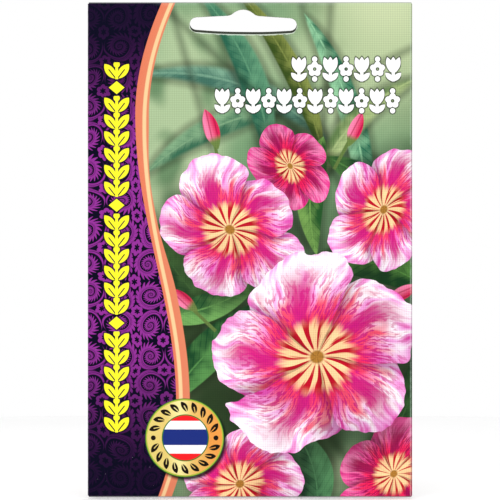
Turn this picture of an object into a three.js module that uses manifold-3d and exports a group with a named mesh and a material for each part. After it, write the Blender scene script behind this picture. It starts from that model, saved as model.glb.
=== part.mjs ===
// A printed seed packet that hangs by its euro slot: one folded and glued paper sheet with seeds inside.
// Millimetres, +Z up. The front faces -Y, and the origin is where a peg bears, at the top of the slot.

import * as THREE from "three";
import { mergeVertices } from "three/addons/utils/BufferGeometryUtils.js";
import Module from "manifold-3d";

const wasm = await Module();
wasm.setup();

// The packet
const packetWidth = 97;
const packetHeight = 148;
const packetLeft = -46.5; // the slot is punched 2 mm left of the packet's middle
const packetTop = 2; // above the slot's highest point
const packetRight = packetLeft + packetWidth;
const packetBottom = packetTop - packetHeight;
const paper = 0.125; // thickness of the sheet, and of each dried film of glue
const sheetPitch = 6; // spacing of the sheet's facets
const foldSegments = 4;

// The middle of each layer's thickness, from the front to the back
const frontLayer = -3 * paper;
const sideFlapLayer = -paper;
const backLayer = paper;
const outerFlapLayer = 3 * paper;

// Flaps
const sideFlapWidth = 10;
const topFlapHeight = 14;
const bottomFlapHeight = 12;
const flapTaper = 7; // how far each flap end leans in
const flapInset = 0.5; // from the packet's side edges
const foldLeg = 0.5; // the straight part of a fold that lies on each sheet it joins
const sideSeam = packetRight - sideFlapWidth;
const bottomFlapEnd = packetBottom + bottomFlapHeight;
const topFlapEnd = packetTop - topFlapHeight;

// The pouch swells between the header and the bottom fold
const pouchTop = -20;
const pouchBottom = packetBottom + 1;
const pouchSwell = 2; // of each panel, at its deepest place
const swellPeak = 0.55; // height of that place, as a share of the way down
const sideFullness = 2.6;
const endFullness = 3.5;

// The euro slot, from its highest point
const slotHalfWidth = 16;
const slotEndZ = -4.6;
const slotShoulderX = 13.4;
const slotShoulderZ = -2.2;
const slotNeckX = 5;
const slotNeckZ = -1.8;
const slotFilletX = 3.8;
const slotFilletZ = -1.75;
const humpRadius = 4.75;
const humpHalfAngle = 0.71;
const slotCornerX = 13.6;
const slotCornerZ = -6.9;
const slotBellyZ = -7.85;
const slotCurvePoints = 5;
const slotCutReach = 3;

// Glue
const glueMargin = 1;
const mouthGlueTop = -8.75;
const mouthGlueHeight = 2.5;

// Seeds
const seedLength = 10;
const seedRadius = 1.1;
const seedNeck = 0.4;
const seedShoulder = 1.6;
const tuftLength = 1.8;
const tuftRadius = 0.75;
const tuftTip = 0.3;
const seedSides = 10;
const seedRows = [3, 2]; // seeds in each row, from the lowest
const seedSpacing = 14.6;
const lowestSeedZ = -125.5;
const seedRowPitch = 4.2;
const seedTilt = 0.12; // radians, the most that a seed leans
const randomStart = 41;

const printedPaper = new THREE.MeshStandardMaterial({ color: 0xa3ad86, roughness: 0.45, metalness: 0 });
const driedGlue = new THREE.MeshStandardMaterial({ color: 0xe6e2d2, roughness: 0.3, metalness: 0 });
const seedCoat = new THREE.MeshStandardMaterial({ color: 0xa98558, roughness: 0.85, metalness: 0 });

const axisX = new THREE.Vector3(1, 0, 0);
const axisY = new THREE.Vector3(0, 1, 0);
const axisZ = new THREE.Vector3(0, 0, 1);

function toSolid(geometry) {
  const bare = geometry.clone();
  bare.deleteAttribute("normal");
  bare.deleteAttribute("uv");
  const merged = mergeVertices(bare, 1e-5);
  const vertProperties = new Float32Array(merged.attributes.position.array);
  const triVerts = new Uint32Array(merged.index.array);
  return new wasm.Manifold(new wasm.Mesh({ numProp: 3, vertProperties, triVerts }));
}

function toGeometry(solid) {
  const mesh = solid.getMesh();
  const geometry = new THREE.BufferGeometry();
  geometry.setAttribute("position", new THREE.BufferAttribute(new Float32Array(mesh.vertProperties), 3));
  geometry.setIndex(new THREE.BufferAttribute(new Uint32Array(mesh.triVerts), 1));
  geometry.computeVertexNormals();
  return geometry;
}

function namedMesh(name, geometry, material) {
  const mesh = new THREE.Mesh(geometry, material);
  mesh.name = name;
  return mesh;
}

// Evenly spaced values from one number to another, both included
function spread(from, to, count) {
  return Array.from({ length: count + 1 }, (_, i) => from + ((to - from) * i) / count);
}

function spreadByPitch(from, to) {
  return spread(from, to, Math.max(1, Math.round(Math.abs(to - from) / sheetPitch)));
}

// The outline of a sheet along a path of { x, y, nx, ny }, half the paper's thickness to each side
function sheetOutline(path) {
  const half = paper / 2;
  const outside = path.map((p) => new THREE.Vector2(p.x + p.nx * half, p.y + p.ny * half));
  const inside = path.map((p) => new THREE.Vector2(p.x - p.nx * half, p.y - p.ny * half));
  return new THREE.Shape([...outside, ...inside.reverse()]);
}

function foldPath(centreX, centreY, radius, startAngle, endAngle) {
  return spread(startAngle, endAngle, foldSegments).map((angle) => {
    const nx = Math.cos(angle);
    const ny = Math.sin(angle);
    return { x: centreX + radius * nx, y: centreY + radius * ny, nx, ny };
  });
}

function panelPath(fromX, toX, y, ny) {
  return spreadByPitch(fromX, toX).map((x) => ({ x, y, nx: 0, ny }));
}

// How full the pouch is at a place, from 0 to 1
function swellAcross(x, left, right) {
  const offCentre = Math.abs((2 * x - left - right) / (right - left));
  return Math.max(0, 1 - offCentre ** sideFullness);
}

function swellDown(z, bottom) {
  const down = (pouchTop - z) / (pouchTop - bottom);
  if (down <= 0 || down >= 1) return 0;
  if (down < swellPeak) return (1 - Math.cos((Math.PI * down) / swellPeak)) / 2;
  return 1 - ((down - swellPeak) / (1 - swellPeak)) ** endFullness;
}

function frontSwell(x, z) {
  const across = swellAcross(x, packetLeft + flapInset, packetRight - flapInset);
  return pouchSwell * across * swellDown(z, pouchBottom);
}

// The back stays flat where the side flap and the bottom flap stiffen it
function backSwell(x, z) {
  if (x >= sideSeam) return 0;
  return pouchSwell * swellAcross(x, packetLeft + flapInset, sideSeam) * swellDown(z, bottomFlapEnd);
}

// Both panels and the side flap, folded round the left and right edges and swollen
function sleeveBody() {
  const rightRadius = (sideFlapLayer - frontLayer) / 2;
  const leftRadius = (backLayer - frontLayer) / 2;
  const rightCentre = packetRight - rightRadius - paper / 2;
  const leftCentre = packetLeft + leftRadius + paper / 2;
  const path = [
    ...panelPath(sideSeam, rightCentre, sideFlapLayer, 1).slice(0, -1),
    ...foldPath(rightCentre, frontLayer + rightRadius, rightRadius, Math.PI / 2, -Math.PI / 2),
    ...panelPath(rightCentre, leftCentre, frontLayer, -1).slice(1, -1),
    ...foldPath(leftCentre, frontLayer + leftRadius, leftRadius, -Math.PI / 2, (-3 * Math.PI) / 2),
    ...panelPath(leftCentre, sideSeam, backLayer, 1).slice(1, -1),
    ...panelPath(sideSeam, packetRight - flapInset, backLayer, 1),
  ];
  const foldReach = outerFlapLayer + paper / 2;
  const rowHeights = [
    packetBottom + foldReach,
    ...spreadByPitch(pouchBottom, bottomFlapEnd).slice(0, -1),
    ...spreadByPitch(bottomFlapEnd, pouchTop),
    packetTop - foldReach,
  ];
  const steps = rowHeights.length - 1;
  const outline = sheetOutline(path);
  const geometry = new THREE.ExtrudeGeometry(outline, { depth: steps, steps, bevelEnabled: false });
  const position = geometry.attributes.position;
  for (let i = 0; i < position.count; i += 1) {
    const x = position.getX(i);
    const y = position.getY(i);
    const z = rowHeights[Math.round(position.getZ(i))];
    let swell = 0;
    if (y < (frontLayer + sideFlapLayer) / 2) swell = -frontSwell(x, z);
    if (y > 0) swell = backSwell(x, z);
    position.setXYZ(i, x, y + swell, z);
  }
  return toSolid(geometry);
}

// A fold along the top edge (side 1) or the bottom edge (side -1), from the front round to the back
function edgeFold(edgeZ, side) {
  const radius = outerFlapLayer;
  const centre = edgeZ - side * (radius + paper / 2);
  const path = [
    { x: -radius, y: centre - side * foldLeg, nx: -1, ny: 0 },
    ...foldPath(0, centre, radius, side * Math.PI, 0),
    { x: radius, y: centre - side * foldLeg, nx: 1, ny: 0 },
  ];
  const depth = packetWidth - 2 * flapInset;
  const geometry = new THREE.ExtrudeGeometry(sheetOutline(path), { depth, bevelEnabled: false });
  geometry.applyMatrix4(new THREE.Matrix4().makeBasis(axisY, axisZ, axisX));
  geometry.translate(packetLeft + flapInset, 0, 0);
  return toSolid(geometry);
}

// A plate standing in the X-Z plane, from its shape in (x, z) and its two faces' places in depth
function standingPlate(shape, nearY, farY) {
  const depth = farY - nearY;
  const geometry = new THREE.ExtrudeGeometry(shape, {
    depth,
    bevelEnabled: false,
    curveSegments: slotCurvePoints,
  });
  geometry.applyMatrix4(new THREE.Matrix4().makeBasis(axisX, axisZ, axisY.clone().negate()));
  geometry.translate(0, farY, 0);
  return geometry;
}

// The part of a flap that lies over the back, its ends leaning in
function flap(edgeZ, endZ, side) {
  const left = packetLeft + flapInset;
  const right = packetRight - flapInset;
  const foldZ = edgeZ - side * (outerFlapLayer + paper / 2);
  const shape = new THREE.Shape();
  shape.moveTo(left, foldZ);
  shape.lineTo(right, foldZ);
  shape.lineTo(right, foldZ - side * foldLeg);
  shape.lineTo(right - flapTaper, endZ);
  shape.lineTo(left + flapTaper, endZ);
  shape.lineTo(left, foldZ - side * foldLeg);
  return toSolid(standingPlate(shape, outerFlapLayer - paper / 2, outerFlapLayer + paper / 2));
}

function slotShape() {
  const humpEdge = Math.PI / 2 + humpHalfAngle;
  const shape = new THREE.Shape();
  shape.moveTo(-slotHalfWidth, slotEndZ);
  shape.quadraticCurveTo(-slotHalfWidth, slotShoulderZ, -slotShoulderX, slotShoulderZ);
  shape.lineTo(-slotNeckX, slotNeckZ);
  const humpX = humpRadius * Math.sin(humpHalfAngle);
  const humpZ = humpRadius * (Math.cos(humpHalfAngle) - 1);
  shape.quadraticCurveTo(-slotFilletX, slotFilletZ, -humpX, humpZ);
  shape.absarc(0, -humpRadius, humpRadius, humpEdge, Math.PI - humpEdge, true);
  shape.quadraticCurveTo(slotFilletX, slotFilletZ, slotNeckX, slotNeckZ);
  shape.lineTo(slotShoulderX, slotShoulderZ);
  shape.quadraticCurveTo(slotHalfWidth, slotShoulderZ, slotHalfWidth, slotEndZ);
  shape.quadraticCurveTo(slotHalfWidth, slotCornerZ, slotCornerX, slotCornerZ);
  shape.quadraticCurveTo(0, slotBellyZ, -slotCornerX, slotCornerZ);
  shape.quadraticCurveTo(-slotHalfWidth, slotCornerZ, -slotHalfWidth, slotEndZ);
  return shape;
}

function packetSleeve() {
  return sleeveBody()
    .add(edgeFold(packetTop, 1))
    .add(edgeFold(packetBottom, -1))
    .add(flap(packetTop, topFlapEnd, 1))
    .add(flap(packetBottom, bottomFlapEnd, -1))
    .subtract(toSolid(standingPlate(slotShape(), -slotCutReach, slotCutReach)));
}

// A film of glue between two layers, by the middle of its thickness
function glueFilm(left, right, bottom, top, middleY, thickness) {
  const geometry = new THREE.BoxGeometry(right - left, thickness, top - bottom);
  geometry.translate((left + right) / 2, middleY, (top + bottom) / 2);
  return geometry;
}

// A rod with a tuft of hairs at each end, along its own Y
function seedGeometry() {
  const end = seedLength / 2;
  const half = [
    [seedRadius, end - 2 * seedShoulder],
    [seedRadius * 0.85, end - seedShoulder / 2],
    [seedNeck, end],
    [tuftRadius, end + tuftLength - tuftTip],
    [0, end + tuftLength],
  ];
  const otherHalf = half.map(([radius, height]) => [radius, -height]).reverse();
  const profile = [...otherHalf, ...half].map(([radius, height]) => new THREE.Vector2(radius, height));
  return toGeometry(toSolid(new THREE.LatheGeometry(profile, seedSides)));
}

function seededRandom(start) {
  let state = start;
  return () => {
    state = (state * 16807) % 2147483647;
    return state / 2147483647;
  };
}

// Seeds lie end to end in short rows, across the bottom of the pouch
function seeds() {
  const random = seededRandom(randomStart);
  const placed = [];
  seedRows.forEach((count, row) => {
    const z = lowestSeedZ + row * seedRowPitch;
    spread(-(count - 1) / 2, (count - 1) / 2, count - 1).forEach((place) => {
      const x = place * seedSpacing;
      const mesh = namedMesh(`seed_${placed.length + 1}`, seedGeometry(), seedCoat);
      mesh.position.set(x, (backSwell(x, z) - frontSwell(x, z)) / 2 - paper, z);
      mesh.rotation.set(0, seedTilt * (2 * random() - 1), Math.PI / 2);
      placed.push(mesh);
    });
  });
  return placed;
}

const group = new THREE.Group();
group.add(namedMesh("packet_sleeve", toGeometry(packetSleeve()), printedPaper));

const sideGlue = glueFilm(
  sideSeam + glueMargin,
  packetRight - flapInset - glueMargin,
  pouchBottom + glueMargin,
  packetTop - glueMargin,
  0,
  paper,
);
group.add(namedMesh("side_seam_glue", sideGlue, driedGlue));

const flapGlueLeft = packetLeft + flapInset + flapTaper + glueMargin;
const flapGlueRight = packetRight - flapInset - flapTaper - glueMargin;
const flapGlueLayer = (backLayer + outerFlapLayer) / 2;
const bottomGlue = glueFilm(
  flapGlueLeft,
  flapGlueRight,
  pouchBottom + glueMargin,
  bottomFlapEnd - glueMargin,
  flapGlueLayer,
  paper,
);
group.add(namedMesh("bottom_flap_glue", bottomGlue, driedGlue));

const mouthGlueBottom = mouthGlueTop - mouthGlueHeight;
const topGlue = glueFilm(flapGlueLeft, flapGlueRight, mouthGlueBottom, mouthGlueTop, flapGlueLayer, paper);
group.add(namedMesh("top_flap_glue", topGlue, driedGlue));

const mouthGlue = glueFilm(
  packetLeft + glueMargin,
  sideSeam - glueMargin,
  mouthGlueBottom,
  mouthGlueTop,
  (frontLayer + backLayer) / 2,
  3 * paper,
);
group.add(namedMesh("mouth_glue", mouthGlue, driedGlue));

seeds().forEach((seed) => group.add(seed));

export default group;
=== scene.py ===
import math
import random

import bmesh
import bpy
from bmesh.types import BMEdge, BMFace, BMVert
from mathutils import Matrix, Vector, noise


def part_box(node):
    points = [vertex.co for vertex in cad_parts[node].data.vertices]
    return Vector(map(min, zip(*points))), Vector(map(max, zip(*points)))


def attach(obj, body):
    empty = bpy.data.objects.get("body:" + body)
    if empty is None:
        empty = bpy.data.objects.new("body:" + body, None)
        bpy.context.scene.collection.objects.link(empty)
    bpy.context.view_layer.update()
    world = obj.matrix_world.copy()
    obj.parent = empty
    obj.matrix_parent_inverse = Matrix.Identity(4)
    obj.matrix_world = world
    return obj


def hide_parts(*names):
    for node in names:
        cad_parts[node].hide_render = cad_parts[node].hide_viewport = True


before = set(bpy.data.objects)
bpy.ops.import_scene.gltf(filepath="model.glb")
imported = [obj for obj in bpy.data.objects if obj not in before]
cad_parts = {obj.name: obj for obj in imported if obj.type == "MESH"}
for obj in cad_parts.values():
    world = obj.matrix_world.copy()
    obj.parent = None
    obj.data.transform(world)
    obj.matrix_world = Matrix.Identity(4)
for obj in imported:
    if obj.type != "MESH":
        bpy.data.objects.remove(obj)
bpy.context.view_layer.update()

mm = 0.001
sleeveLow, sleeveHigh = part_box("packet_sleeve")

packet = {
    "left": sleeveLow.x / mm,
    "right": sleeveHigh.x / mm,
    "bottom": sleeveLow.z / mm,
    "top": sleeveHigh.z / mm,
    "paper": 0.125,
    "frontLayer": -0.375,
    "sideLayer": -0.125,
    "backLayer": 0.125,
    "flapLayer": 0.375,
    "sideFlap": 10,
    "topFlap": 14,
    "bottomFlap": 12,
    "flapTaper": 7,
    "flapInset": 0.5,
    "pitch": 1.2,
    "foldSteps": 8,
    "pouchTop": -20,
    "swell": 1.87,
    "swellPeak": 0.55,
    "sideFullness": 2.6,
    "endFullness": 3.5,
    "waviness": 0.12,
    "waveScale": 0.03,
    "creaseScale": (0.09, 0.05),
    "flapLift": 0.16,
    "seedBump": 0.12,
    "seedBumpHalf": (4.2, 1.5),
}

euroSlot = {
    "halfWidth": 16,
    "endZ": -4.6,
    "shoulder": (13.4, -2.45),
    "neck": (5, -2.05),
    "fillet": (3.8, -2),
    "humpTop": -0.22,
    "humpRadius": 4.75,
    "humpHalfAngle": 0.71,
    "corner": (13.6, -7),
    "bellyZ": -8.2,
    "curveSteps": 10,
    "backShift": 0.75,
    "tilt": 0.02,
}


# Shader maths

def operator(operation, reflected=False):  # a Sock's operator, which adds a Math node
    def method(self, *value):
        values = (*value, self) if reflected else (self, *value)
        return self.shader.maths(operation, *values)
    return method


class Sock:  # one output socket, which ordinary arithmetic adds Math nodes to
    def __init__(self, shader, socket):
        self.shader = shader
        self.socket = socket

    __add__ = operator("ADD")
    __radd__ = operator("ADD", True)
    __sub__ = operator("SUBTRACT")
    __rsub__ = operator("SUBTRACT", True)
    __mul__ = operator("MULTIPLY")
    __rmul__ = operator("MULTIPLY", True)
    __truediv__ = operator("DIVIDE")
    __rtruediv__ = operator("DIVIDE", True)
    __mod__ = operator("FLOORED_MODULO")
    __rmod__ = operator("FLOORED_MODULO", True)
    __pow__ = operator("POWER")
    __rpow__ = operator("POWER", True)
    __gt__ = operator("GREATER_THAN")
    __lt__ = operator("LESS_THAN")
    __abs__ = operator("ABSOLUTE")

    def __neg__(self):
        return self * -1

    def other(self, name):
        return Sock(self.shader, self.socket.node.outputs[name])


class Shader:  # adds nodes to the tree of a material, a node group or the world
    def __init__(self, tree):
        self.tree = tree
        tree.nodes.clear()

    def node(self, kind, settings=None, inputs=None, output=0):
        made = self.tree.nodes.new(kind)
        for key, value in (settings or {}).items():
            setattr(made, key, value)
        for key, value in (inputs or {}).items():
            if isinstance(value, Sock):
                self.tree.links.new(value.socket, made.inputs[key])
            else:
                made.inputs[key].default_value = value
        return Sock(self, made.outputs[output]) if made.outputs else None

    def maths(self, operation, *values):
        return self.node("ShaderNodeMath", {"operation": operation}, dict(enumerate(values)))

    def place(self):  # the packet's own x and z, in mm
        spot = self.node("ShaderNodeTexCoord", output="Object")
        x = self.node("ShaderNodeSeparateXYZ", inputs={0: spot})
        return x * (1 / mm), x.other("Z") * (1 / mm)

    def noise(self, scale, detail=1, rough=0.5, drift=None):  # scale is per mm; drift is a fourth axis
        settings = {"noise_dimensions": "3D" if drift is None else "4D"}
        inputs = {"Vector": self.node("ShaderNodeTexCoord", output="Object")}
        if drift is not None:
            inputs["W"] = drift * mm
        inputs.update({"Scale": scale / mm, "Detail": detail, "Roughness": rough})
        return self.node("ShaderNodeTexNoise", settings, inputs)

    def chance(self, value, seed):  # a random number for each whole value
        settings = {"noise_dimensions": "1D"}
        return self.node("ShaderNodeTexWhiteNoise", settings, {"W": value + seed}, "Value")


def newMaterial(name):
    material = bpy.data.materials.new(name)
    material.use_nodes = True
    shader = Shader(material.node_tree)
    shader.material = material
    return shader


def finish(colour, roughness, specular, height=None, bumpDepth=0):  # the depth is in mm
    shader = colour.shader
    inputs = {"Base Color": colour, "Roughness": roughness, "Specular IOR Level": specular}
    if height is not None:
        bump = {"Distance": bumpDepth * mm, "Height": height}
        inputs["Normal"] = shader.node("ShaderNodeBump", inputs=bump)
    surface = shader.node("ShaderNodeBsdfPrincipled", inputs=inputs)
    shader.node("ShaderNodeOutputMaterial", inputs={0: surface})
    return shader.material


stamps = {}


def stampGroup(draw, look):  # the node group that draws one kind of motif
    tree = bpy.data.node_groups.new(draw.__name__, "ShaderNodeTree")
    for key, value in look.items():
        isColour = isinstance(value, tuple) or key == "under"
        kind = "NodeSocketColor" if isColour else "NodeSocketFloat"
        tree.interface.new_socket(key, in_out="INPUT", socket_type=kind)
    tree.interface.new_socket("shown", in_out="OUTPUT", socket_type="NodeSocketColor")
    shader = Shader(tree)
    entry = shader.node("NodeGroupInput")
    inner = {key: entry.other(key) for key in look}
    shown = draw(inner.pop("under"), inner.pop("x"), inner.pop("z"), inner)
    shader.node("NodeGroupOutput", inputs={0: shown})
    return tree


def stamp(draw, under, x, z, look=None):  # paints a motif over a colour; its copies share one node group
    inputs = {"under": under, "x": x, "z": z, **(look or {})}
    if draw not in stamps:
        stamps[draw] = stampGroup(draw, inputs)
    return x.shader.node("ShaderNodeGroup", {"node_tree": stamps[draw]}, inputs)


def ink(red, green, blue):  # a printed colour, given as it looks on screen
    def linear(value):
        share = value / 255
        return share / 12.92 if share <= 0.04045 else ((share + 0.055) / 1.055) ** 2.4
    return (linear(red), linear(green), linear(blue), 1)


def smooth(value, low, high):  # 0 at low, 1 at high, eased between and held outside
    settings = {"interpolation_type": "SMOOTHSTEP", "clamp": False}
    return value.shader.node("ShaderNodeMapRange", settings, {0: value, 1: low, 2: high})


def inside(distance, blur=0.12):  # 1 where a signed distance is negative
    return smooth(distance, blur / 2, -blur / 2)


def least(a, b):
    return a.shader.maths("MINIMUM", a, b)


def most(a, b):
    return a.shader.maths("MAXIMUM", a, b)


def floor(value):
    return value.shader.maths("FLOOR", value)


def wave(value):  # a sine with a period of 1
    return value.shader.maths("SINE", value * (2 * math.pi))


def length(a, b):
    maths = a.shader.maths
    return maths("SQRT", maths("MULTIPLY_ADD", a, a, b * b))


def turnAt(a, b):  # the angle of (a, b), in turns
    return a.shader.maths("ARCTAN2", b, a) * (0.5 / math.pi)


def turned(a, b, angle):  # (a, b) on axes turned by an angle
    maths = a.shader.maths
    cos, sin = math.cos(angle), math.sin(angle)
    return maths("MULTIPLY_ADD", a, cos, b * sin), maths("MULTIPLY_ADD", b, cos, a * -sin)


def placed(a, b, spot, angle):  # (a, b) on axes at a spot, turned by an angle
    return turned(a - spot[0], b - spot[1], angle)


def mixed(share, a, b):
    settings = {"data_type": "FLOAT", "clamp_factor": False}
    return share.shader.node("ShaderNodeMix", settings, {0: share, 2: a, 3: b})


def paint(under, over, mask):
    return mask.shader.node("ShaderNodeMix", {"data_type": "RGBA"}, {0: mask, 6: under, 7: over}, 2)


def shaded(colour, light):  # a colour made light times as bright
    settings = {"data_type": "RGBA", "clamp_factor": False}
    return light.shader.node("ShaderNodeMix", settings, {0: light, 6: (0, 0, 0, 1), 7: colour}, 2)


def almond(along, across, halfLength, halfWidth):  # signed distance to a pointed leaf shape
    radius = (halfLength * halfLength + halfWidth * halfWidth) / (halfWidth * 2)
    return length(along, abs(across) + (radius - halfWidth)) - radius


def slitLeaf(u, v, look, *slit):  # a pointed leaf with a slit along its rib
    return most(almond(u, v, *look["leafHalf"]), look["leafRib"] - abs(v) - smooth(u, *slit))


def cell(value, pitch):  # which repeat a value falls in, and the place from its middle
    share = value / pitch
    index = floor(share)
    return index, (share - index - 0.5) * pitch


# The printed front

stripe = {
    "middle": -26.14,
    "swing": 6.14,
    "period": 172.8,
    "lowest": -31.8,
    "highest": -118.2,
    "flare": 0.0034,
    "width": 4.05,
    "pinch": 1.15,
    "pinchZ": -58.8,
    "pinchReach": (26, 5),
    "creamIn": 1.4,
    "creamRise": 1.5,
    "creamRiseZ": (-80, -20),
    "creamHalf": 0.62,
    "orange": ink(227, 125, 92),
    "orangeRight": ink(224, 132, 98),
    "cream": ink(243, 204, 152),
}


def stripeEdges(x, z):
    above = most(z - stripe["lowest"], 0)
    below = most(stripe["highest"] - z, 0)
    swing = wave((z - stripe["lowest"]) / stripe["period"] + 0.25)
    left = stripe["middle"] - swing * stripe["swing"] + (above * above - below * below) * stripe["flare"]
    pinched = smooth(abs(z - stripe["pinchZ"]), *stripe["pinchReach"])
    return left, stripe["width"] - pinched * stripe["pinch"]


band = {
    "dark": ink(4, 3, 28),
    "bright": ink(146, 48, 150),
    "deep": ink(86, 26, 102),
    "cell": 9.2,
    "drift": 5,
    "turns": 1.05,
    "blades": 17,
    "lean": 2.4,
    "litTop": (-3, -44),
    "litBottom": (-141, -98),
    "speck": ink(190, 185, 205),
    "halo": ink(20, 8, 36),
}


def scrollwork(x, z):  # a traditional mirrored pattern of fronded scrolls, 1 on them and 0 between them
    shader = x.shader
    half = band["cell"] / 2
    bend = shader.node("ShaderNodeSeparateColor", inputs={0: shader.noise(0.07).other("Color")})
    bentX = x + (bend - 0.5) * band["drift"]
    bentZ = z + (bend.other("Green") - 0.5) * band["drift"]
    a = shader.maths("PINGPONG", bentX + 60, band["cell"]) - half
    b = shader.maths("PINGPONG", bentZ + 200, band["cell"]) - half
    reach = length(a, b)
    angle = turnAt(a, b)
    growth = shader.maths("LOGARITHM", reach + 0.1, math.e)
    coil = angle + growth * band["turns"]
    within = coil - floor(coil)
    fringe = angle * band["blades"] - growth * band["lean"]
    blade = abs(fringe - floor(fringe) - 0.5)
    teeth = inside(blade - 0.52 + smooth(within, 0.3, 0.9) * 0.44, 0.1)
    arm = inside(abs(within - 0.44) - 0.41, 0.05)
    groove = inside(abs(within - 0.17) - 0.022, 0.035) + inside(abs(within - 0.27) - 0.012, 0.03)
    scroll = arm * teeth * (1 - groove * 0.85)
    sideA = half - abs(a)
    sideB = half - abs(b)
    flowerReach = length(sideA, sideB)
    petals = abs(wave(turnAt(sideA, sideB) * 3))
    flower = inside(abs(flowerReach - petals * 0.5 - 1) - 0.55, 0.1)
    return mixed(smooth(reach, half - 0.2, half), scroll, flower)


def bandPrint(under, x, z, look):
    pattern = scrollwork(x, z)
    lit = least(smooth(z, *band["litTop"]), smooth(z, *band["litBottom"]))
    purple = paint(band["deep"], band["bright"], lit)
    colour = paint(band["dark"], purple, pattern * (lit * 0.88 + 0.1))
    specks = x.shader.noise(2.6, 0)
    colour = paint(colour, band["speck"], smooth(specks, 0.87, 0.92) * 0.5)
    shape = leafChain(x, z)
    colour = paint(colour, band["halo"], smooth(shape, 0.7, 0.2) * 0.85)
    colour = paint(colour, chain["yellow"], inside(shape))

    left, width = stripeEdges(x, z)
    offset = x - left
    cream = stripe["creamIn"] + smooth(z, *stripe["creamRiseZ"]) * stripe["creamRise"]
    orange = paint(stripe["orange"], stripe["orangeRight"], smooth(offset, 0, 4))
    shine = smooth(abs(offset - cream), stripe["creamHalf"] + 0.12, stripe["creamHalf"] - 0.25)
    colour = paint(colour, paint(orange, stripe["cream"], shine), inside(-offset))
    return paint(colour, under, inside(width - offset, 0.2))


chain = {
    "x": -37.85,
    "top": -16,
    "bottom": -126.6,
    "cells": 22,
    "gaps": 7,
    "leafAt": (1.95, -0.15),
    "leafTilt": math.radians(52),
    "leafHalf": (2.75, 1.3),
    "leafRib": 0.17,
    "stemHalf": 0.42,
    "berry": 0.95,
    "diamond": 1.75,
    "yellow": ink(255, 250, 48),
}


def leafChain(x, z):  # a laurel garland up the band, as a signed distance
    pitch = (chain["top"] - chain["bottom"]) / chain["cells"]
    across = abs(x - chain["x"])
    index, along = cell(z - chain["bottom"], pitch)
    leaf = slitLeaf(*placed(across, along, chain["leafAt"], chain["leafTilt"]), chain, 0.6, 1.4)
    stem = across - chain["stemHalf"]
    berries = length(across, along - 1.9) - chain["berry"]
    diamond = (across + abs(along) * 1.2) * 0.75 - chain["diamond"]
    resting = (index + 1) % chain["gaps"] < 0.5
    shape = mixed(resting, least(least(leaf, stem), berries), diamond)
    return most(shape, most(z - chain["top"], chain["bottom"] - z))


badge = {
    "x": -17.5,
    "z": -128.2,
    "radius": 11.8,
    "ringIn": 6.88,
    "discShift": 0.2,
    "markCircle": 9.35,
    "marks": 20,
    "leafTilt": 0.55,
    "leafHalf": (1.8, 0.84),
    "leafRib": 0.13,
    "dot": 0.74,
    "blueHalf": 2.35,
    "whiteHalf": 4.9,
    "shadowShift": (0.7, -0.9),
    "shadow": ink(8, 10, 10),
    "gold": ink(230, 208, 120),
    "goldWarm": ink(238, 158, 74),
    "goldShine": ink(255, 250, 180),
    "rim": ink(48, 116, 44),
    "rimLight": ink(176, 192, 66),
    "print": ink(24, 18, 12),
    "red": ink(248, 34, 40),
    "white": ink(255, 254, 255),
    "blue": ink(30, 48, 127),
}


def badgePrint(under, x, z, look):
    a = x - badge["x"]
    b = z - badge["z"]
    reach = length(a, b)
    angle = turnAt(a, b)
    shiftX, shiftZ = badge["shadowShift"]
    shadow = smooth(length(a - shiftX, b - shiftZ), badge["radius"] + 0.7, badge["radius"] - 0.6)
    colour = paint(under, badge["shadow"], shadow * 0.94)
    warm = smooth(wave(angle * 2 + 0.25), -0.5, 0.9) * smooth(a, -11, 9)
    gold = paint(badge["gold"], badge["goldWarm"], most(warm, smooth(a, -3, 11) * 0.95))
    gold = paint(gold, badge["goldShine"], smooth(abs(a + 1.5), 4.5, 0) * 0.6)
    index, along = cell(angle + 1 + 0.5 / badge["marks"], 1 / badge["marks"])
    markU = reach - badge["markCircle"]
    markV = along * (2 * math.pi * badge["markCircle"])
    leaf = slitLeaf(*turned(markU, markV, badge["leafTilt"]), badge, 0.3, 0.8)
    dot = length(markU, markV) - badge["dot"]
    atSide = index % (badge["marks"] / 2) < 0.5
    gold = paint(gold, badge["print"], inside(mixed(atSide, leaf, dot)))
    row = abs(b - 0.2)
    stripes = paint(badge["blue"], badge["white"], inside(badge["blueHalf"] - row))
    stripes = paint(stripes, badge["red"], inside(badge["whiteHalf"] - row))
    inner = length(a - badge["discShift"], b)
    disc = paint(gold, stripes, inside(inner - badge["ringIn"]))
    disc = paint(disc, badge["rim"], inside(abs(inner - badge["ringIn"]) - 0.16))
    disc = paint(disc, badge["rimLight"], inside(abs(reach - badge["radius"] + 0.4) - 0.2))
    disc = paint(disc, badge["rim"], inside(abs(reach - badge["radius"]) - 0.24))
    return paint(colour, disc, inside(reach - badge["radius"]))


flowerRows = [
    {"left": 14.3, "rowZ": -18, "pitch": 4.7, "cells": 7},
    {"left": -8.6, "rowZ": -27.5, "pitch": 4.63, "cells": 12},
]

motif = {  # a tulip and a rosette
    "petal": (2.25, 0.92),
    "sidePetal": (2.4, 0.95),
    "sidePetalAt": (1.12, 1.25),
    "cup": 1.5,
    "stemHalf": (0.48, 1.7),
    "leaf": (1.75, 0.8),
    "leafAt": (1.1, -2.35),
    "rosette": 1.68,
    "rosettePetal": 0.6,
    "rosetteHole": 0.55,
    "bud": (0.82, 0.78),
    "budOut": 2.95,
    "white": ink(255, 255, 255),
    "outline": ink(26, 40, 24),
}


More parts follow.
